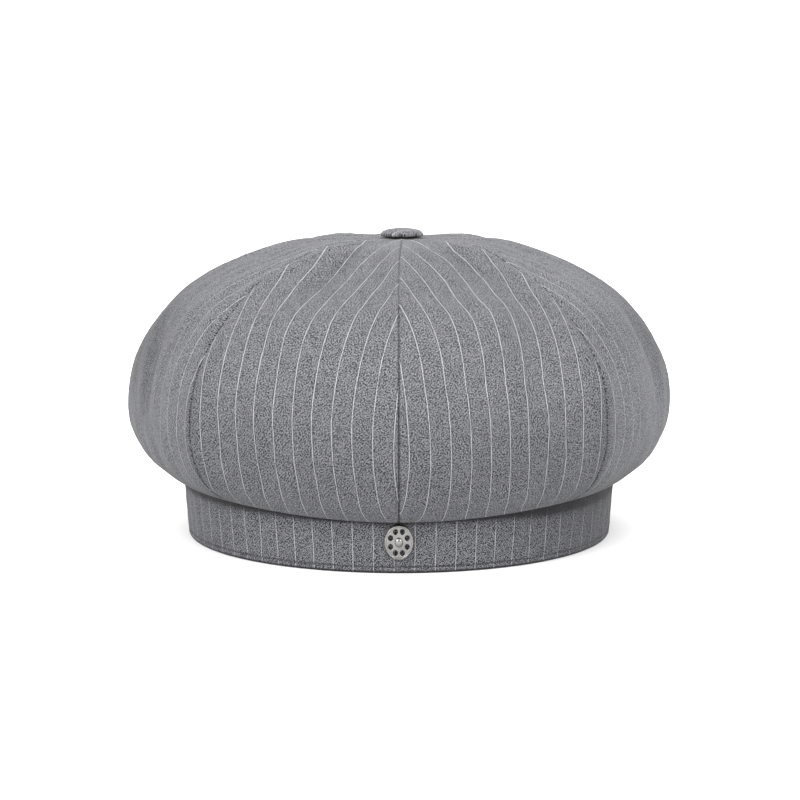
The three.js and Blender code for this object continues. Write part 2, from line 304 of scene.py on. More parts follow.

# Painted shade on a panel, from 0 to 1, where shade falls on the cloth: a base of it, and painted shade
# near the top, low down, in the folds' valleys and on the flanks above the hem. Turns are in degrees
# from the front.
BASE_SHADE = 0.1
TOP_SHADE, TOP_SHADE_FADES = 0.03, (70, 110)
LOW_SHADE, LOW_SHADE_SETS_IN = 0.16, (130, 172)
FOLD_SHADE = 0.03
FLANK_SHADE, FLANK_TURN = 0.34, (20, 60)
SIDE_SEAMS = (1, 7)
# Painted shade beside the side seams low down, and a stronger painted shadow in their grooves.
SEAM_SHADE, SEAM_SHADE_REACH, SEAM_SHADE_SETS_IN = 0.15, 6, (90, 140)
SIDE_SEAM_GAIN = 0.6
# A painted shadow in the groove of each seam, broken into dashes where the stitches draw it in.
SEWN_MEAN, SEWN_SWING, SEWN_PITCH = 0.5, 0.2, 2.6
CREASE_EDGE = (0.06, 0.42)
# Painted shade inside the hem, where the cloth turns under.
UNDER_HEM_SHADE, UNDER_SPAN = 0.8, (-0.6, 1.2)  # inside the hem, from its outermost line
# Where the seams are pressed flat: a flatter grain, and a painted sheen that lightens the cloth.
PRESSED_EDGE = (3.9, 5.0)
PRESSED_LOSS, PRESSED_FADES = 0.75, (40, 90)
LINE_LOSS, LINE_FADES, LINE_RETURNS = 0.5, (48, 66), (120, 140)  # weaker stripes at the sides

# Each panel is cut from another part of the cloth.
STRIPES_APART = 26  # stripes
CLOTH_APART = 61.7  # mm along them
FRONT_BLEND = (-0.4, 0.4)  # where the narrow cloth of the front seam sets in across a panel


def seam_strength(down):
    """How strongly a seam shows: it is pressed flatter near the top."""
    return SEAM_AT_TOP + (1 - SEAM_AT_TOP) * smoothstep(down, *SEAM_SETS_IN)


def above_hem(down):
    return 1 - smoothstep(down, DOWN[UNDERSIDE], DOWN[HEM_OUT])


def panel_relief(azimuth, down, radius, across, from_seam, seam):
    """How far the cloth stands out from the line between a panel's two seams."""
    free = smoothstep(radius, *FREE_OF_BUTTON)
    above = above_hem(down)
    outside_hem = 1 - smoothstep(down, DOWN[HEM_OUT], DOWN[HEM_OUT] + HEM_RUN_OUT)
    groove = GROOVE_DEPTH * seam_strength(down) * np.exp(-((from_seam / GROOVE_HALF) ** 2)) * outside_hem
    dip = DIP_DEPTH * np.maximum(0, 1 - from_seam / DIP_REACH) ** 2 * above
    ridge = RIDGE_HEIGHT * (1 - RIDGE_LOSS * smoothstep(down, *RIDGE_FADES))
    ridge = ridge * (1 - smoothstep(from_seam, *RIDGE_EDGE)) * above
    waves = cloth_waves(azimuth, down, **SIDE_WAVES) * smoothstep(radius, *WAVES_SET_IN) * above
    puckers = pucker(seam, down, from_seam) * smoothstep(radius, *PUCKERS_SET_IN) * outside_hem
    swell = profile(SWELL, down) * (1 - across**2)
    folds = fold_depth(FOLDS, azimuth, down, radius) * free * above
    out = swell - folds + (ridge - dip - groove) * free + waves + puckers
    return out + bend_height(azimuth, down)


def panel_cloth(panel, down, across):
    """Fabric coordinates: across the stripes, and along them."""
    wander, phase = WANDER[panel + 1]
    aslant = curve(CUT_AT, wander, down) * (1 - across**2)
    half_cloth = curve(CUT_AT, HALF_CLOTH, down)
    beside_front = {0: -across, PANELS - 1: across}
    if panel in beside_front:
        to_front = smoothstep(beside_front[panel], *FRONT_BLEND)
        half_cloth = half_cloth + (curve(CUT_AT, FRONT_CLOTH, down) - half_cloth) * to_front
    u = across * half_cloth - aslant - phase + STRIPES_APART * STRIPE_PITCH * panel
    v = np.broadcast_to(down + CLOTH_APART * panel, u.shape)
    return np.stack([u, v], axis=-1) / UV_SCALE


def panel_shade(azimuth, down, radius, from_seam, seam):
    """Painted shade on the cloth, and how flat it is pressed along the seams."""
    lower = seam_strength(down)
    shown = lower + (SIDE_SEAM_GAIN * (1 - lower) if seam in SIDE_SEAMS else 0)
    # painted shadow in each seam's groove, in dashes along its stitches
    sewn = (SEWN_MEAN + SEWN_SWING * np.cos(2 * math.pi * down / SEWN_PITCH)) * shown
    crease = sewn * (1 - smoothstep(from_seam, *CREASE_EDGE))
    # painted shade inside the hem
    under = UNDER_HEM_SHADE * smoothstep(down, *(DOWN[HEM_OUT] + np.array(UNDER_SPAN)))
    sideways = smoothstep(np.abs(turn_degrees(azimuth)), *FLANK_TURN)
    folds = fold_depth(FOLDS[1:], azimuth, down, radius)
    # a base of painted shade, and painted shade near the top
    tone = BASE_SHADE + TOP_SHADE * (1 - smoothstep(down, *TOP_SHADE_FADES))
    # painted shade and painted light in soft ovals over the crown
    tone = tone + fold_depth(SHADE_AND_LIGHT_SPOTS, azimuth, down, radius)
    # painted shade in the valleys of the folds
    tone = tone + FOLD_SHADE * folds * smoothstep(radius, *FREE_OF_BUTTON) * above_hem(down)
    # painted shade low down on the crown
    tone = tone + LOW_SHADE * smoothstep(down, *LOW_SHADE_SETS_IN)
    # painted shade on the flanks above the hem
    tone = tone + FLANK_SHADE * sideways * smoothstep(down, DOWN[LOWER_SIDE], DOWN[HEM_OUT])
    # painted shade beside the side seams
    if seam in SIDE_SEAMS:
        near = np.exp(-((from_seam / SEAM_SHADE_REACH) ** 2))
        tone = tone + SEAM_SHADE * near * smoothstep(down, *SEAM_SHADE_SETS_IN)
    dark = np.maximum(np.maximum(crease, under), tone)
    # pressed flat along the seams, with a painted sheen
    pressed = 1 - smoothstep(from_seam, *PRESSED_EDGE)
    pressed = pressed * (1 - PRESSED_LOSS * smoothstep(down, *PRESSED_FADES))
    return np.stack([dark, pressed + 0 * dark], axis=-1)


def panel_grid(panel, down, from_seam, side, depth_of):
    """One half of a panel's face, at a depth below its outer face: points, fabric coordinates,
    shade and strength of the stripes. side is -1 for the first half and 1 for the second."""
    radius = profile(RADIUS, down)
    half = HALF_PANEL - np.arcsin(SEAM_CLEARANCE / radius)
    across = side * (1 - from_seam / (half * radius))
    azimuth = (2 * panel + 1) * HALF_PANEL + across * half
    seam = (panel + (side > 0)) % PANELS
    out = panel_relief(azimuth, down, radius, across, from_seam, seam) - depth_of(from_seam)
    face_radius, face_height = facing(down)
    turn = turn_degrees(azimuth)
    lowered = front_sag(turn) * smoothstep(down, DOWN[WIDEST], DOWN[HEM_OUT])
    reach = radius + face_radius * out
    z = profile(HEIGHT, down) + face_height * out - lowered
    aside = TOP_SHIFT * (1 - smoothstep(radius, BUTTON_RADIUS, TOP_REACH))
    points = np.stack([reach * np.sin(azimuth) + aside, -reach * np.cos(azimuth), z], axis=-1)
    away = np.abs(turn)
    at_side = smoothstep(away, *LINE_FADES) * (1 - smoothstep(away, *LINE_RETURNS))
    line = np.stack([1 - LINE_LOSS * at_side, 0 * z], axis=-1)
    shade = panel_shade(azimuth, down, radius, from_seam, seam)
    return points, panel_cloth(panel, down, across), shade, line


def crown_rows():
    """Distances down the panel of the mesh's rows, closer round the hem."""
    side = np.arange(0, DOWN[UNDERSIDE + 1], CROWN_ROW)
    round_hem = np.linspace(DOWN[UNDERSIDE + 1], DOWN[-1], HEM_ROWS)
    return np.concatenate([side, round_hem])


def panel_columns(down):
    """Distances from the seam, one row of them for each distance down the panel."""
    radius = profile(RADIUS, down)
    width = HALF_PANEL * radius
    near = np.array(SEAM_COLUMNS)
    shrink = np.minimum(1, width / (near[-1] * SEAM_SHARE))
    close = near[None, :] * shrink[:, None]
    share = np.arange(1, FREE_COLUMNS + 1) / FREE_COLUMNS
    start = close[:, -1:]
    rest = start + (width[:, None] - start) * share[None, :]
    return np.concatenate([close, rest], axis=1)


def make_object(name, points, faces, layers, material):
    mesh = bpy.data.meshes.new(name)
    mesh.from_pydata((points * MM).tolist(), [], faces)
    mesh.update()
    corners = np.zeros(len(mesh.loops), np.int32)
    mesh.loops.foreach_get("vertex_index", corners)
    for layer, coordinates in layers.items():
        target = mesh.uv_layers.new(name=layer)
        target.data.foreach_set("uv", coordinates[corners].astype(np.float32).ravel())
    mesh.polygons.foreach_set("use_smooth", np.ones(len(mesh.polygons), bool))
    mesh.materials.append(material)
    obj = bpy.data.objects.new(name, mesh)
    bpy.context.scene.collection.objects.link(obj)
    return obj


def wall_faces(rows, columns):
    """Faces of a closed wall made of an outer and an inner grid of points."""
    at = np.arange(2 * rows * columns).reshape(2, rows, columns)
    outer, inner = at

    def quads(a, b, c, d):
        return np.stack([a, b, c, d], axis=-1).reshape(-1, 4)

    return np.concatenate([
        quads(outer[:-1, :-1], outer[1:, :-1], outer[1:, 1:], outer[:-1, 1:]),
        quads(inner[:-1, :-1], inner[:-1, 1:], inner[1:, 1:], inner[1:, :-1]),
        quads(outer[:-1, 0], inner[:-1, 0], inner[1:, 0], outer[1:, 0]),
        quads(outer[:-1, -1], outer[1:, -1], inner[1:, -1], inner[:-1, -1]),
        quads(outer[0, :-1], outer[0, 1:], inner[0, 1:], inner[0, :-1]),
        quads(outer[-1, :-1], inner[-1, :-1], inner[-1, 1:], outer[-1, 1:]),
    ]).tolist()


def stacked(outer, inner):
    """Each grid of the outer face and its fellow of the inner face, as one list of rows."""
    return [
        np.concatenate([a.reshape(-1, a.shape[-1]), b.reshape(-1, a.shape[-1])])
        for a, b in zip(outer, inner)
    ]


def crown_panel(number, material):
    """One gore of the crown: a closed wall, thicker along its seams."""
    down = crown_rows()
    columns = panel_columns(down)
    down = down[:, None]

    def whole(depth_of):
        first = panel_grid(number - 1, down, columns, -1, depth_of)
        second = panel_grid(number - 1, down, columns[:, -2::-1], 1, depth_of)
        return [np.concatenate([a, b], axis=1) for a, b in zip(first, second)]

    outer = whole(lambda d: 0 * d)
    inner = whole(lambda d: CLOTH + ALLOWANCE * (1 - smoothstep(d, *ALLOWANCE_EDGE)))
    faces = wall_faces(*outer[0].shape[:2])
    points, cloth, shade, line = stacked(outer, inner)
    layers = {"Cloth": cloth, "Shade": shade, "Line": line}
    return make_object(f"crown_cloth_{number}", points, faces, layers, material)


# The band: a folded strip with its ends joined behind, and a row of stitches above the fold.
STITCH_PITCH = 2.2
STITCH_HEIGHT = 2.7
FOLD_RADIUS = 0.9
TOP_ROUND = 0.5
BAND_COLUMNS = 1051
STITCH_ROWS = np.arange(1.1, 4.0, 0.2)
FREE_ROWS = np.linspace(4.2, BAND_HEIGHT - 0.6, 22)
GUTTER_DEPTH, GUTTER_REACH = 0.14, 0.55  # the dip along the row of stitches
HOLE_DEPTH, HOLE_REACH, HOLE_POWER = 0.3, 0.3, 8
PUFF_HEIGHT, PUFF_AT, PUFF_REACH = 0.05, 0.9, 0.5  # the cloth between two stitches
WAVES_LOW = (0.5, 4)
WAVES_HIGH = (20, BAND_HEIGHT)
JOIN_DEPTH, JOIN_REACH = 0.7, 0.4
BAND_PHASE = 1.9
BAND_FAN = 0.01  # the front stripes lean outwards to the top by this share
BAND_STRIPES_APART = 320
BAND_CLOTH_APART = 530

# Painted shade on the band, from 0 to 1: the hem's sharp shadow, its soft edge, the whole, the right
# hand side, where the crown's shadow falls deeper, and both sides. Turns are in degrees from the front.
HEM_SHADOW, SOFT_SHADOW, SOFT_REACH = 0.88, 0.36, 3.2
SHADOW_DEEP, SHADOW_GAIN, SHADOW_TURN = 1.3, 1.9, (12, 50)
RIGHT_DEEPER, RIGHT_SHADOW, RIGHT_REACH = 1.2, 0.36, 20
RIGHT_TURN, RIGHT_ENDS = (12, 44), (100, 150)
BAND_SHADE = 0.11
SIDE_SHADE, SIDE_TURN, SIDE_LOSS, SIDE_ENDS = 0.2, (34, 66), 0.6, (90, 130)
DARKEST = 0.93
# A painted contact shadow along the band's bottom edge, where it meets the ground.
GROUND_SHADOW, EDGE_SPAN = 0.95, (0.6, 1.5)  # at the ground
# Painted shade in the gutter along the stitches, and in the stitch holes.
GUTTER_SHADE, GUTTER_SHADE_REACH = 0.4, 0.45
HOLE_SHADE, HOLE_FULL = 0.95, 0.15


def lean_at(height):
    """How far the band leans out at a height, from its radius at half its height."""
    return BAND_TAPER * (height / BAND_HEIGHT - 0.5)


def band_section():
    """Distance from the middle of the wall and height, from the fold at the bottom to the top."""
    flat = BAND_WALL / 2 - FOLD_RADIUS
    low = [
        (flat + FOLD_RADIUS * math.sin(t), FOLD_RADIUS * (1 - math.cos(t)))
        for t in np.linspace(0.03, math.pi / 2, 7)
    ]
    rows = [(BAND_WALL / 2, z) for z in (*STITCH_ROWS, *FREE_ROWS)]
    top = [
        (BAND_WALL / 2 - TOP_ROUND * (1 - math.cos(t)), BAND_HEIGHT - TOP_ROUND * (1 - math.sin(t)))
        for t in np.linspace(0.2, math.pi / 2, 4)
    ]
    return np.array(low + rows + top)


def band_shade(turn, z):
    """Painted shade on the band: the crown hem's shadow, shade on its sides and right hand side, and a
    contact shadow along its bottom edge.
    """
    away = np.abs(turn)
    below = np.maximum(HEM_HEIGHT - front_sag(turn) - z, 0)
    to_right = smoothstep(turn, *RIGHT_TURN) * (1 - smoothstep(turn, *RIGHT_ENDS))
    to_side = smoothstep(away, *SIDE_TURN) * (1 - SIDE_LOSS * smoothstep(away, *SIDE_ENDS))
    deep = SHADOW_DEEP + SHADOW_GAIN * smoothstep(away, *SHADOW_TURN) + RIGHT_DEEPER * to_right
    # painted shadow of the crown's hem, painted shade over the band, on its right hand side and on its
    # sides
    tone = HEM_SHADOW * np.exp(-((below / deep) ** 3)) + SOFT_SHADOW * np.exp(-below / SOFT_REACH)
    tone = tone + BAND_SHADE + RIGHT_SHADOW * to_right * np.exp(-below / RIGHT_REACH) + SIDE_SHADE * to_side
    # painted contact shadow along the bottom edge
    at_edge = GROUND_SHADOW * (1 - smoothstep(z, *EDGE_SPAN))
    return np.maximum(np.minimum(tone, DARKEST), at_edge)


def band_face(side, azimuth):
    """One side of the band, 1 outside and -1 inside: points, fabric coordinates and shade."""
    section = band_section()
    z = section[:, 1][:, None]
    azimuth = azimuth[None, :]
    arc = azimuth * BAND_OUTER
    out = section[:, 0][:, None] + np.zeros_like(arc)
    turn = np.degrees(azimuth)
    shade = band_shade(turn, z)
    if side > 0:
        from_line = np.abs(z - STITCH_HEIGHT)
        step = math.pi * arc / STITCH_PITCH
        gutter = GUTTER_DEPTH * np.exp(-((from_line / GUTTER_REACH) ** 2))
        holes = HOLE_DEPTH * np.exp(-((from_line / HOLE_REACH) ** 2)) * np.cos(step) ** HOLE_POWER
        puff = PUFF_HEIGHT * np.exp(-(((z - PUFF_AT) / PUFF_REACH) ** 2)) * np.sin(step) ** 2
        body = smoothstep(z, *WAVES_LOW) * (1 - smoothstep(z, *WAVES_HIGH))
        waves = cloth_waves(azimuth, z * 2, **BAND_WAVES) * body
        from_join = (math.pi - np.abs(azimuth)) * BAND_OUTER
        join = JOIN_DEPTH * np.exp(-((from_join / JOIN_REACH) ** 2))
        out = out - gutter - holes + puff + waves - join
        # painted shade in the gutter along the stitches and in their holes
        shade = np.maximum(shade, GUTTER_SHADE * np.exp(-((from_line / GUTTER_SHADE_REACH) ** 2)))
        shade = np.maximum(shade, HOLE_SHADE * np.minimum(1, holes / HOLE_FULL))
    radius = (BAND_INNER + BAND_OUTER) / 2 + side * out + lean_at(z)
    points = np.stack([radius * np.sin(azimuth), -radius * np.cos(azimuth), z + 0 * arc], axis=-1)
    turned = 0.5 * (1 + np.cos(azimuth))
    u = arc / (1 + BAND_FAN * turned * (z / BAND_HEIGHT - 0.5)) + BAND_PHASE
    u = u + BAND_STRIPES_APART * side * STRIPE_PITCH
    v = BAND_CLOTH_APART - z + 0 * arc
    return points, np.stack([u, v], axis=-1) / UV_SCALE, np.stack([shade, 0 * shade], axis=-1)


def band(material):
    gap = SEAM_CLEARANCE / BAND_OUTER
    azimuth = np.linspace(-math.pi + gap, math.pi - gap, BAND_COLUMNS)
    outer = band_face(1, azimuth)
    inner = band_face(-1, azimuth)
    faces = [f[::-1] for f in wall_faces(*outer[0].shape[:2])]
    points, cloth, shade = stacked(outer, inner)
    layers = {"Cloth": cloth, "Shade": shade, "Line": np.ones_like(shade)}
    return make_object("band_cloth", points, faces, layers, material)


THREAD_SIDES, THREAD_STATIONS = 6, 9
THREAD_RADIUS = 0.17
THREAD_FLAT = 1.15  # its height over its depth
THREAD_THINS = 0.35  # towards its ends
THREAD_RISE, THREAD_DIP = 0.1, 0.42
STITCH_SHARE = 0.43  # half length over pitch
STITCH_TILT = 0.05
STITCH_SPREAD = (0.95, 1.03)
STITCH_APART = 9  # on the fabric layer
TWIST_STEP = 0.06


def stitches(material):
    """A row of sewn stitches, each a short thread that dips into the cloth at both ends."""
    count = round(2 * math.pi * BAND_OUTER / STITCH_PITCH)
    sides, stations = THREAD_SIDES, THREAD_STATIONS
    turn = np.arange(sides) * 2 * math.pi / sides
    rng = np.random.default_rng(3)
    points, faces, cloth = [], [], []
    surface = BAND_OUTER + lean_at(STITCH_HEIGHT) - GUTTER_DEPTH
    for k in range(count):
        middle = (k + 0.5) * 2 * math.pi / count - math.pi
        tilt = rng.normal(0, STITCH_TILT)
        half = STITCH_PITCH * STITCH_SHARE * rng.uniform(*STITCH_SPREAD)
        first = len(points) * sides
        for s in np.linspace(-1, 1, stations):
            azimuth = middle + s * half / BAND_OUTER
            rise = THREAD_RISE - THREAD_DIP * s**4
            thick = THREAD_RADIUS * (1 - THREAD_THINS * s**6)
            ring = []
            for a in turn:
                reach = surface + rise + thick * math.cos(a)
                z = STITCH_HEIGHT + tilt * s + thick * THREAD_FLAT * math.sin(a)
                ring.append((reach * math.sin(azimuth), -reach * math.cos(azimuth), z))
            points.append(ring)
            cloth += [(s * half + STITCH_APART * k, a * TWIST_STEP) for a in turn]
        for j in range(stations - 1):
            for i in range(sides):
                n = (i + 1) % sides
                a = first + j * sides
                faces.append([a + i, a + n, a + sides + n, a + sides + i])
        faces.append([first + i for i in range(sides)][::-1])
        faces.append([first + (stations - 1) * sides + i for i in range(sides)])
    layers = {"Cloth": np.array(cloth) / UV_SCALE}
    return make_object("band_stitching", np.array(points).reshape(-1, 3), faces, layers, material)


SHANK_FOOT = 1.6  # how far the button's shank reaches below the cloth
BUTTON_SEGMENTS = 120
RIM_UNDERCUT = 0.9
BUTTON_FOLDS, BUTTON_GATHER = 14, 0.1
GATHER_AT, GATHER_REACH, GATHER_SPAN = 0.5, 0.9, (6.5, 8.5)
DOME_MIDDLE, DOME_SPAN = (0, 3), (1.2, 2.5)
BUTTON_BULGE = 0.92
BUTTON_STRETCH = 0.06
BUTTON_STRIPES = math.radians(66)  # which way its stripes run
BUTTON_U = 300 * STRIPE_PITCH + 1.5
BUTTON_V = 700
# Painted shade under the button's rim, where the cloth is tucked under.
TUCK_SHADE, TUCK_SPAN = 0.75, (0.1, 0.6)


def button_section(seat):
    """Radius and height of the button, from the foot of its shank over its rim to the top."""
    foot = STATIONS[0][HEIGHT] - CLOTH - SHANK_FOOT
    section = [(0, foot), (SHANK_RADIUS, foot), (SHANK_RADIUS, seat - 0.2), (4, seat - 0.1), (6, seat)]
    for t in np.linspace(-math.pi / 2, 0, 7):
        r = BUTTON_RADIUS - RIM_UNDERCUT * (1 - math.cos(t))
        section.append((r, seat + BUTTON_RIM * (1 + math.sin(t))))
    for t in np.linspace(0, math.pi / 2, 20)[1:]:
        lift = (BUTTON_HEIGHT - BUTTON_RIM) * math.sin(t)
        section.append((BUTTON_RADIUS * max(0, math.cos(t)) ** BUTTON_BULGE, seat + BUTTON_RIM + lift))
    return np.array(section)


def button(material):
    """The covered button: a dome of cloth drawn over a shell, gathered under its rim."""
    seat = STATIONS[0][HEIGHT] + FIT_GAP
    section = button_section(seat)
    azimuth = np.arange(BUTTON_SEGMENTS) * 2 * math.pi / BUTTON_SEGMENTS
    r = section[:, 0][:, None]
    z = section[:, 1][:, None]
    gather = np.exp(-(((z - seat - GATHER_AT) / GATHER_REACH) ** 2)) * smoothstep(r, *GATHER_SPAN)
    folds = np.cos(BUTTON_FOLDS * azimuth + 0.8 * np.sin(3 * azimuth))[None, :]
    waves = cloth_waves(azimuth[None, :], r, **BUTTON_WAVES) * smoothstep(r, *DOME_MIDDLE)
    r = r + BUTTON_GATHER * folds * gather
    z = z + waves * smoothstep(z, *(seat + np.array(DOME_SPAN)))
    points = np.stack([r * np.sin(azimuth), -r * np.cos(azimuth), z + 0 * azimuth], axis=-1)
    points = points.reshape(-1, 3) + np.array([TOP_SHIFT, 0, 0])
    at = np.arange(len(points)).reshape(-1, BUTTON_SEGMENTS)
    right = np.roll(at, -1, axis=1)
    faces = np.stack([at[:-1], right[:-1], right[1:], at[1:]], axis=-1).reshape(-1, 4).tolist()
    x, y = points[:, 0], points[:, 1]
    stretch = 1 + BUTTON_STRETCH * (x * x + y * y) / BUTTON_RADIUS**2
    cos, sin = math.cos(BUTTON_STRIPES), math.sin(BUTTON_STRIPES)
    u = (x * cos - y * sin) * stretch + BUTTON_U
    v = (x * sin + y * cos) * stretch + BUTTON_V
    # painted shade under the rim
    tucked = TUCK_SHADE * (1 - smoothstep(points[:, 2], *(seat + np.array(TUCK_SPAN))))
    # a flatter grain over the whole button, and a painted sheen that lightens it
    shade = np.stack([tucked, 0.5 + 0 * tucked], axis=-1)
    cloth = np.stack([u, v], axis=-1) / UV_SCALE
    layers = {"Cloth": cloth, "Shade": shade, "Line": np.ones_like(shade)}
    return make_object("button_cloth", points, faces, layers, material)


class Tree:
    """Short calls for building a material's nodes."""

    def __init__(self, material):
        material.use_nodes = True
        self.nodes = material.node_tree.nodes
        self.links = material.node_tree.links
        self.shader = self.nodes["Principled BSDF"]

    def put(self, socket, given):
        if isinstance(given, bpy.types.NodeSocket):
            self.links.new(given, socket)
        else:
            socket.default_value = given

    def math(self, operation, *given):
        node = self.nodes.new("ShaderNodeMath")
        node.operation = operation
        for socket, value in zip(node.inputs, given):
            self.put(socket, value)
        return node.outputs[0]

    def vector(self, x, y, z=0.0):
        node = self.nodes.new("ShaderNodeCombineXYZ")
        for socket, value in zip(node.inputs, (x, y, z)):
            self.put(socket, value)
        return node.outputs[0]

    def noise(self, position, scale, detail=1.0, roughness=0.5):
        node = self.nodes.new("ShaderNodeTexNoise")
        self.put(node.inputs["Vector"], position)
        node.inputs["Scale"].default_value = scale
        node.inputs["Detail"].default_value = detail
        node.inputs["Roughness"].default_value = roughness
        return node.outputs["Fac"]

    def white(self, position):
        node = self.nodes.new("ShaderNodeTexWhiteNoise")
        node.noise_dimensions = "3D"
        self.put(node.inputs["Vector"], position)
        return node.outputs["Value"]

    def spread(self, value, low, high, to_low, to_high):
        node = self.nodes.new("ShaderNodeMapRange")
        node.interpolation_type = "SMOOTHSTEP"
        for socket, given in zip(node.inputs, (value, low, high, to_low, to_high)):
            self.put(socket, given)
        return node.outputs[0]

    def mix(self, share, a, b):
        node = self.nodes.new("ShaderNodeMix")
        node.data_type = "FLOAT"
        for name, given in (("Factor", share), ("A", a), ("B", b)):
            self.put(node.inputs[name], given)
        return node.outputs[0]

    def mix_colour(self, share, a, b):
        node = self.nodes.new("ShaderNodeMix")
        node.data_type = "RGBA"
        self.put(node.inputs["Factor"], share)
        self.put(node.inputs[6], a)
        self.put(node.inputs[7], b)
        return node.outputs[2]

    def layer(self, name, scale):
        node = self.nodes.new("ShaderNodeUVMap")
        node.uv_map = name
        split = self.nodes.new("ShaderNodeSeparateXYZ")
        self.links.new(node.outputs[0], split.inputs[0])
        x = self.math("MULTIPLY", split.outputs[0], float(scale))
        y = self.math("MULTIPLY", split.outputs[1], float(scale))
        return x, y

    def bump(self, height, distance, strength):
        node = self.nodes.new("ShaderNodeBump")
        node.inputs["Distance"].default_value = distance
        node.inputs["Strength"].default_value = strength
        self.put(node.inputs["Height"], height)
        self.links.new(node.outputs[0], self.shader.inputs["Normal"])


THREAD = 0.38  # mm from one thread to the next
WOOL_DARK = (0.002, 0.002, 0.0025, 1)
WOOL_LIGHT = (0.181, 0.182, 0.197, 1)
STRIPE = (0.42, 0.423, 0.439, 1)
# SHADED is the colour that painted shade and shadow darken the cloth towards.
SHADED = (0.006, 0.006, 0.007, 1)

# The tone of a float of the weave, between the dark wool at 0 and the light wool at 1: a middle,
# a random part made even against its four neighbours, and smaller parts for the twill, the yarn,
# clouds in the cloth and a painted sheen on the pressed seams.
MIDDLE_TONE = 0.41
GRAIN, EVENED = 1.93, 1.3
GRAIN_SEED = 3.0
TWILL_FLOATS, TWILL_UP, TWILL_TONE = 4.0, 1.5, 0.22
YARN_TONE, YARN_STEP, YARN_LENGTH = 0.1, 3.7, 0.55
CLOUD_TONE, CLOUD_SCALE = 0.08, 0.16
PRESSED_SHEEN, PRESSED_GRAIN = 0.09, 0.35

# Half widths of a stripe and of the darker threads beside it, and how it wavers and fades.
LINE_EDGE = (0.06, 0.21)
BESIDE_EDGE, BESIDE_TONE = (0.3, 0.9), 0.13
WOBBLE, WOBBLE_SCALE = 0.3, 0.12
FADE_SCALE, FADE_EDGE, FADED = 0.14, (0.3, 0.6), 0.55
BEAD_LOW, BEAD_HIGH = 0.7, 0.3

FIBRE_SCALE, FIBRE_HEIGHT = 5.0, 0.7
WARP_ROUND, WARP_BASE = 1.4, 0.3
STRIPE_HEIGHT = 0.4
WEAVE_DEPTH, WEAVE_STRENGTH = 0.00012, 0.55
WOOL_ROUGH = (0.95, 0.8)


def weave_tone(t, u, v, pressed):
    """The tone of the wool, and where a warp thread lies on top."""
    warp = t.math("FLOOR", t.math("DIVIDE", u, THREAD))
    weft = t.math("FLOOR", t.math("DIVIDE", v, THREAD))
    step = t.math("FLOORED_MODULO", t.math("ADD", warp, weft), TWILL_FLOATS)
    up = t.math("LESS_THAN", step, TWILL_UP)
    crossing = t.white(t.vector(warp, weft, GRAIN_SEED))
    around = t.white(t.vector(t.math("ADD", warp, 1.0), weft, GRAIN_SEED))
    for near_warp, near_weft in ((-1.0, 0.0), (0.0, 1.0), (0.0, -1.0)):
        x = t.math("ADD", warp, near_warp)
        y = t.math("ADD", weft, near_weft)
        around = t.math("ADD", around, t.white(t.vector(x, y, GRAIN_SEED)))
    around = t.math("MULTIPLY_ADD", around, 0.25, -0.5)
    along_warp = t.vector(t.math("MULTIPLY", warp, YARN_STEP), t.math("MULTIPLY", v, YARN_LENGTH))
    along_weft = t.vector(t.math("MULTIPLY", u, YARN_LENGTH), t.math("MULTIPLY", weft, YARN_STEP))
    yarn = t.mix(up, t.noise(along_weft, 1.0, 2.0), t.noise(along_warp, 1.0, 2.0))
    clouds = t.noise(t.vector(u, v), CLOUD_SCALE, 3.0, 0.6)
    twill = t.math("MULTIPLY_ADD", up, TWILL_TONE, -0.5 * TWILL_TONE)
    tone = t.math("MULTIPLY_ADD", t.math("SUBTRACT", crossing, 0.5), GRAIN, twill)
    tone = t.math("MULTIPLY_ADD", around, -EVENED, tone)
    tone = t.math("MULTIPLY", tone, t.math("MULTIPLY_ADD", pressed, -PRESSED_GRAIN, 1.0))
    tone = t.math("MULTIPLY_ADD", yarn, YARN_TONE, tone)
    tone = t.math("MULTIPLY_ADD", clouds, CLOUD_TONE, tone)
    # a painted sheen where the cloth is pressed
    tone = t.math("MULTIPLY_ADD", pressed, PRESSED_SHEEN, tone)
    return t.math("ADD", tone, MIDDLE_TONE), up


def pinstripes(t, u, v, up, line_strength):
    """How much a place belongs to a stripe, and how much darker the wool beside one is."""
    wobble = t.noise(t.vector(0.0, v), WOBBLE_SCALE, 1.0)
    shifted = t.math("MULTIPLY_ADD", wobble, WOBBLE, t.math("SUBTRACT", u, 0.5 * WOBBLE))
    nearest = t.math("ROUND", t.math("DIVIDE", shifted, STRIPE_PITCH))
    offset = t.math("SUBTRACT", shifted, t.math("MULTIPLY", nearest, STRIPE_PITCH))
    away = t.math("ABSOLUTE", offset)
    beside = t.spread(away, *BESIDE_EDGE, BESIDE_TONE, 0.0)
    line = t.math("MULTIPLY", t.spread(away, *LINE_EDGE, 1.0, 0.0), line_strength)
    bead = t.math("MULTIPLY_ADD", up, BEAD_HIGH, BEAD_LOW)
    fading = t.noise(t.vector(nearest, t.math("MULTIPLY", v, FADE_SCALE)), 1.0, 2.0)
    fading = t.spread(fading, *FADE_EDGE, FADED, 1.0)
    return t.math("MULTIPLY", line, t.math("MULTIPLY", bead, fading)), beside


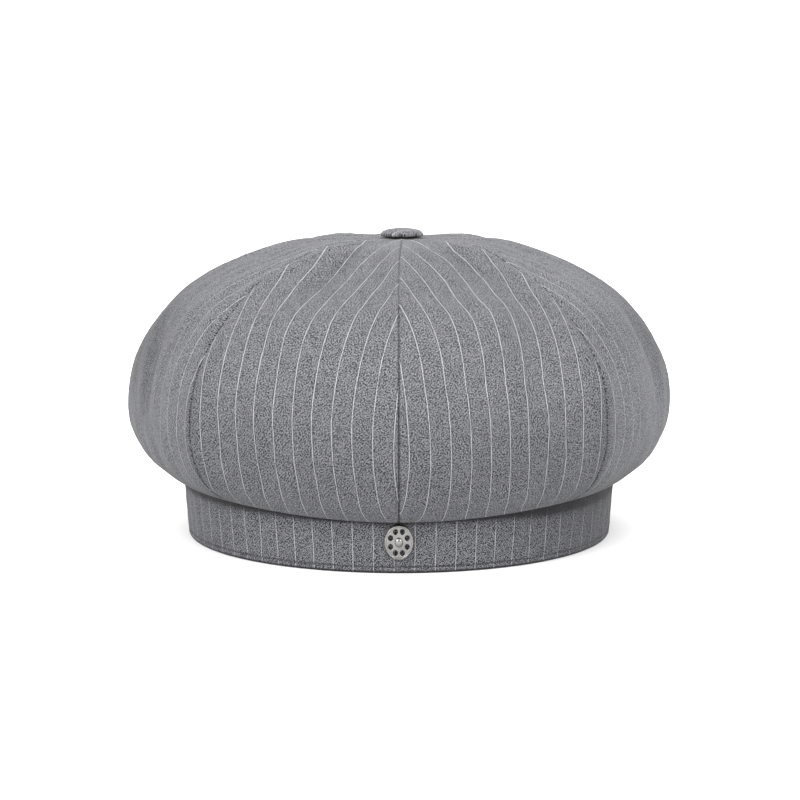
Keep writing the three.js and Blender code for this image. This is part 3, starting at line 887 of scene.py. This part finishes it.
def pinstripe_cloth():
    """Worsted twill of mixed grey yarns: each float of the weave has its own tone, and one warp
    thread in every stripe is lighter."""
    material = bpy.data.materials.new("pinstripe_wool")
    t = Tree(material)
    u, v = t.layer("Cloth", UV_SCALE)
    shade, pressed = t.layer("Shade", 1)
    line_strength = t.layer("Line", 1)[0]
    tone, up = weave_tone(t, u, v, pressed)
    stripe, beside = pinstripes(t, u, v, up, line_strength)
    wool = t.mix_colour(t.math("SUBTRACT", tone, beside), WOOL_DARK, WOOL_LIGHT)
    cloth = t.mix_colour(stripe, wool, STRIPE)
    # painted shade and shadow from the Shade layer darken the cloth towards SHADED
    t.put(t.shader.inputs["Base Color"], t.mix_colour(shade, cloth, SHADED))

    across_warp = t.math("PINGPONG", t.math("DIVIDE", u, THREAD), 0.5)
    across_weft = t.math("PINGPONG", t.math("DIVIDE", v, THREAD), 0.5)
    round_warp = t.math("MULTIPLY_ADD", across_warp, WARP_ROUND, WARP_BASE)
    fibres = t.noise(t.vector(u, v), FIBRE_SCALE, 3.0, 0.7)
    height = t.math("MULTIPLY_ADD", fibres, FIBRE_HEIGHT, t.mix(up, across_weft, round_warp))
    height = t.math("MULTIPLY_ADD", stripe, STRIPE_HEIGHT, height)
    t.bump(height, WEAVE_DEPTH, WEAVE_STRENGTH)
    t.put(t.shader.inputs["Roughness"], t.spread(fibres, 0.3, 0.7, *WOOL_ROUGH))
    t.shader.inputs["Specular IOR Level"].default_value = 0.2
    t.shader.inputs["Sheen Weight"].default_value = 0.08
    t.shader.inputs["Sheen Roughness"].default_value = 0.45
    return material


THREAD_DARK = (0.012, 0.012, 0.014, 1)
THREAD_LIGHT = (0.04, 0.0404, 0.045, 1)
STRAND_ALONG, STRAND_ROUND = 12.0, 17.0


def thread():
    """Sewing thread: fine strands twisted along it."""
    material = bpy.data.materials.new("sewing_thread")
    t = Tree(material)
    u, v = t.layer("Cloth", UV_SCALE)
    strands = t.math("ADD", t.math("MULTIPLY", u, STRAND_ALONG), t.math("MULTIPLY", v, STRAND_ROUND))
    twist = t.math("SINE", strands)
    tone = t.math("MULTIPLY_ADD", twist, 0.3, 0.5)
    t.put(t.shader.inputs["Base Color"], t.mix_colour(tone, THREAD_DARK, THREAD_LIGHT))
    t.shader.inputs["Roughness"].default_value = 0.6
    t.bump(twist, 0.00004, 0.6)
    return material


SILVER_DARK = (0.17, 0.165, 0.16, 1)
SILVER_LIGHT = (0.27, 0.263, 0.256, 1)
SILVER_ROUGH = (0.14, 0.3)
SCRATCH_SCALE, SILVER_CLOUD_SCALE = 2600.0, 380.0


def silver():
    """Polished silver with fine scratches, duller in patches."""
    material = bpy.data.materials.new("polished_silver")
    t = Tree(material)
    place = t.nodes.new("ShaderNodeTexCoord").outputs["Object"]
    scratches = t.noise(place, SCRATCH_SCALE, 4.0, 0.7)
    cloudy = t.noise(place, SILVER_CLOUD_SCALE, 2.0)
    t.put(t.shader.inputs["Base Color"], t.mix_colour(cloudy, SILVER_DARK, SILVER_LIGHT))
    t.put(t.shader.inputs["Roughness"], t.spread(scratches, 0.35, 0.7, *SILVER_ROUGH))
    t.shader.inputs["Metallic"].default_value = 1.0
    t.bump(scratches, 0.00002, 0.35)
    return material


def oval_spline(outline, x, y, half_wide, half_tall, points):
    spline = outline.splines.new("POLY")
    spline.points.add(points - 1)
    for k in range(points):
        turn = 2 * math.pi * k / points
        spline.points[k].co = (x + half_wide * math.cos(turn), y + half_tall * math.sin(turn), 0, 1)
    spline.use_cyclic_u = True


def joined(name, objects, material):
    """One mesh object from several, each with its transform applied."""
    depsgraph = bpy.context.evaluated_depsgraph_get()
    points, faces = [], []
    for obj in objects:
        mesh = bpy.data.meshes.new_from_object(obj.evaluated_get(depsgraph))
        mesh.transform(obj.matrix_world)
        first = len(points)
        points += [tuple(v.co) for v in mesh.vertices]
        faces += [[first + i for i in p.vertices] for p in mesh.polygons]
        bpy.data.meshes.remove(mesh)
        bpy.data.objects.remove(obj)
    mesh = bpy.data.meshes.new(name)
    mesh.from_pydata(points, [], faces)
    mesh.polygons.foreach_set("use_smooth", np.ones(len(faces), bool))
    mesh.materials.append(material)
    obj = bpy.data.objects.new(name, mesh)
    bpy.context.scene.collection.objects.link(obj)
    return obj


def lathe_points(section, segments):
    """A ring of points for each radius and height of a section."""
    turn = np.arange(segments) * 2 * math.pi / segments
    r = np.array([p[0] for p in section])[:, None]
    z = np.array([p[1] for p in section])[:, None]
    return np.stack([r * np.cos(turn), r * np.sin(turn), z + 0 * turn], axis=-1)


def temporary(points, faces):
    mesh = bpy.data.meshes.new("temporary")
    mesh.from_pydata(points.reshape(-1, 3).tolist(), [], faces)
    obj = bpy.data.objects.new("temporary", mesh)
    bpy.context.scene.collection.objects.link(obj)
    return obj


# The ornament's parts, in mm: its edge's rounding, the ring of holes as shares of its half sizes,
# the rim's place and half sizes, and the bead's half sizes.
BEVEL = 0.22
HOLE_RING_WIDE, HOLE_RING_TALL = 0.62, 0.66
HOLE_WIDE, HOLE_TALL = 0.95, 1.15
OUTLINE_POINTS, HOLE_POINTS = 96, 32
RIM_INSET = 0.5
RIM_WIDE, RIM_TALL = 0.38, 0.34
RIM_SIDES, RIM_SEGMENTS = 12, 96
BEAD_SIZE = np.array([1.7, 2.1, 1.3])
BEAD_SUNK = 0.3
BEAD_START = -0.4
BEAD_ROWS, BEAD_SEGMENTS = 16, 48


def ornament_plate():
    """The oval plate with its ring of holes, rounded at every edge."""
    outline = bpy.data.curves.new("temporary", "CURVE")
    outline.dimensions = "2D"
    outline.fill_mode = "BOTH"
    half_wide, half_tall = ORNAMENT_WIDTH / 2, ORNAMENT_HEIGHT / 2
    oval_spline(outline, 0, 0, half_wide - BEVEL, half_tall - BEVEL, OUTLINE_POINTS)
    for k in range(ORNAMENT_HOLES):
        turn = (k + 0.5) * 2 * math.pi / ORNAMENT_HOLES
        x = HOLE_RING_WIDE * half_wide * math.cos(turn)
        y = HOLE_RING_TALL * half_tall * math.sin(turn)
        oval_spline(outline, x, y, HOLE_WIDE + BEVEL, HOLE_TALL + BEVEL, HOLE_POINTS)
    outline.extrude = ORNAMENT_THICKNESS / 2 - BEVEL
    outline.bevel_depth = BEVEL
    outline.bevel_resolution = 4
    plate = bpy.data.objects.new("temporary", outline)
    bpy.context.scene.collection.objects.link(plate)
    plate.location = (0, 0, ORNAMENT_THICKNESS / 2)
    return plate


def ornament_rim():
    """A raised round rim that follows the plate's edge."""
    wide, tall = ORNAMENT_WIDTH / 2, ORNAMENT_HEIGHT / 2
    turn = np.arange(RIM_SEGMENTS) * 2 * math.pi / RIM_SEGMENTS
    centre = np.stack([(wide - RIM_INSET) * np.cos(turn), (tall - RIM_INSET) * np.sin(turn)], axis=-1)
    normal = np.stack([np.cos(turn) * tall, np.sin(turn) * wide], axis=-1)
    normal /= np.linalg.norm(normal, axis=1)[:, None]
    rings = []
    for a in np.arange(RIM_SIDES) * 2 * math.pi / RIM_SIDES:
        z = np.full((RIM_SEGMENTS, 1), ORNAMENT_THICKNESS + RIM_TALL * math.sin(a))
        rings.append(np.concatenate([centre + normal * RIM_WIDE * math.cos(a), z], axis=1))
    at = np.arange(RIM_SIDES * RIM_SEGMENTS).reshape(RIM_SIDES, RIM_SEGMENTS)
    right = np.roll(at, -1, axis=1)
    below = np.roll(at, -1, axis=0)
    corner = np.roll(right, -1, axis=0)
    faces = np.stack([at, right, corner, below], axis=-1).reshape(-1, 4).tolist()
    return temporary(np.array(rings), faces)


def ornament_bead():
    """A low dome in the middle of the plate."""
    dome = [(math.cos(a), math.sin(a)) for a in np.linspace(BEAD_START, math.pi / 2, BEAD_ROWS)]
    foot = np.array([0, 0, ORNAMENT_THICKNESS - BEAD_SUNK])
    points = lathe_points(dome, BEAD_SEGMENTS) * BEAD_SIZE + foot
    at = np.arange(BEAD_ROWS * BEAD_SEGMENTS).reshape(BEAD_ROWS, BEAD_SEGMENTS)
    right = np.roll(at, -1, axis=1)
    faces = np.stack([at[:-1], right[:-1], right[1:], at[1:]], axis=-1).reshape(-1, 4).tolist()
    return temporary(points, faces)


def ornament(material):
    """A pierced oval of polished metal with a raised rim and a bead, set against the band."""
    parts = [ornament_plate(), ornament_rim(), ornament_bead()]
    bpy.context.view_layer.update()
    piece = joined("front_ornament_silver", parts, material)
    lean = math.pi / 2 + BAND_LEAN
    cos, sin = math.cos(lean), math.sin(lean)
    middle = ORNAMENT_FOOT + ORNAMENT_HEIGHT / 2
    x, y, z = np.array([v.co for v in piece.data.vertices]).T
    stand = BAND_OUTER + lean_at(middle) + FIT_GAP
    placed = np.stack([x, y * cos - z * sin - stand, y * sin + z * cos + middle], axis=-1)
    piece.data.vertices.foreach_set("co", (placed * MM).astype(np.float32).ravel())
    piece.data.update()
    return piece


cloth = pinstripe_cloth()
for number in range(1, PANELS + 1):
    panel = crown_panel(number, cloth)
    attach(panel, "root")
    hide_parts(f"crown_panel_{number}")

band_piece = band(cloth)
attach(band_piece, "root")
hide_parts("band")

stitching = stitches(thread())
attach(stitching, "root")

button_piece = button(cloth)
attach(button_piece, "root")
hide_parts("top_button")

silver_piece = ornament(silver())
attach(silver_piece, "root")
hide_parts("front_ornament")


# A pale floor, a bright even surround, broad soft lights and the camera. Lengths here are in
# metres.
FLOOR_HALF = 60.0
FLOOR_DARK = (0.90, 0.90, 0.90, 1)
FLOOR_LIGHT = (0.92, 0.92, 0.92, 1)
SURROUND = 1.3

# Azimuth from the front and elevation in degrees, strength, spread in degrees.
LIGHTS = {
    "overhead": (0, 80, 2.3, 80),
    "front_left": (-50, 28, 2.3, 40),
    "front_right": (50, 28, 1.6, 40),
}
LIGHT_DISTANCE = 3

CAMERA_ELEVATION = math.radians(8.2)
CAMERA_DISTANCE = 0.95
CAMERA_AIM = Vector((0.00044, 0, 0.057))
LENS = 97.3
SENSOR = 36


def floor():
    material = bpy.data.materials.new("pale_floor")
    t = Tree(material)
    place = t.nodes.new("ShaderNodeTexCoord").outputs["Object"]
    fine = t.noise(place, 90.0, 3.0)
    t.put(t.shader.inputs["Base Color"], t.mix_colour(fine, FLOOR_DARK, FLOOR_LIGHT))
    t.shader.inputs["Roughness"].default_value = 0.9
    t.shader.inputs["Specular IOR Level"].default_value = 0.1
    mesh = bpy.data.meshes.new("floor")
    corners = [(-1, -1, 0), (1, -1, 0), (1, 1, 0), (-1, 1, 0)]
    mesh.from_pydata([(x * FLOOR_HALF, y * FLOOR_HALF, z) for x, y, z in corners], [], [(0, 1, 2, 3)])
    mesh.materials.append(material)
    obj = bpy.data.objects.new("floor", mesh)
    bpy.context.scene.collection.objects.link(obj)


def surround():
    world = bpy.data.worlds.new("surround")
    world.use_nodes = True
    background = world.node_tree.nodes["Background"]
    background.inputs["Color"].default_value = (1, 1, 1, 1)
    background.inputs["Strength"].default_value = SURROUND
    bpy.context.scene.world = world


def broad_light(name, azimuth, elevation, strength, softness):
    """An even light from far off."""
    light = bpy.data.lights.new(name, "SUN")
    light.energy = strength
    light.angle = math.radians(softness)
    obj = bpy.data.objects.new(name, light)
    a, e = math.radians(azimuth), math.radians(elevation)
    towards = Vector((math.sin(a) * math.cos(e), -math.cos(a) * math.cos(e), math.sin(e)))
    obj.location = towards * LIGHT_DISTANCE
    obj.rotation_euler = towards.to_track_quat("Z", "Y").to_euler()
    bpy.context.scene.collection.objects.link(obj)


def place_camera():
    data = bpy.data.cameras.new("camera")
    data.lens = LENS
    data.sensor_width = SENSOR
    data.sensor_fit = "HORIZONTAL"
    obj = bpy.data.objects.new("camera", data)
    away = Vector((0, -math.cos(CAMERA_ELEVATION), math.sin(CAMERA_ELEVATION)))
    obj.location = CAMERA_AIM + away * CAMERA_DISTANCE
    obj.rotation_euler = (-away).to_track_quat("-Z", "Y").to_euler()
    bpy.context.scene.collection.objects.link(obj)
    bpy.context.scene.camera = obj


floor()
surround()
for name, light in LIGHTS.items():
    broad_light(name, *light)
place_camera()
bpy.context.scene.view_settings.view_transform = "Standard"

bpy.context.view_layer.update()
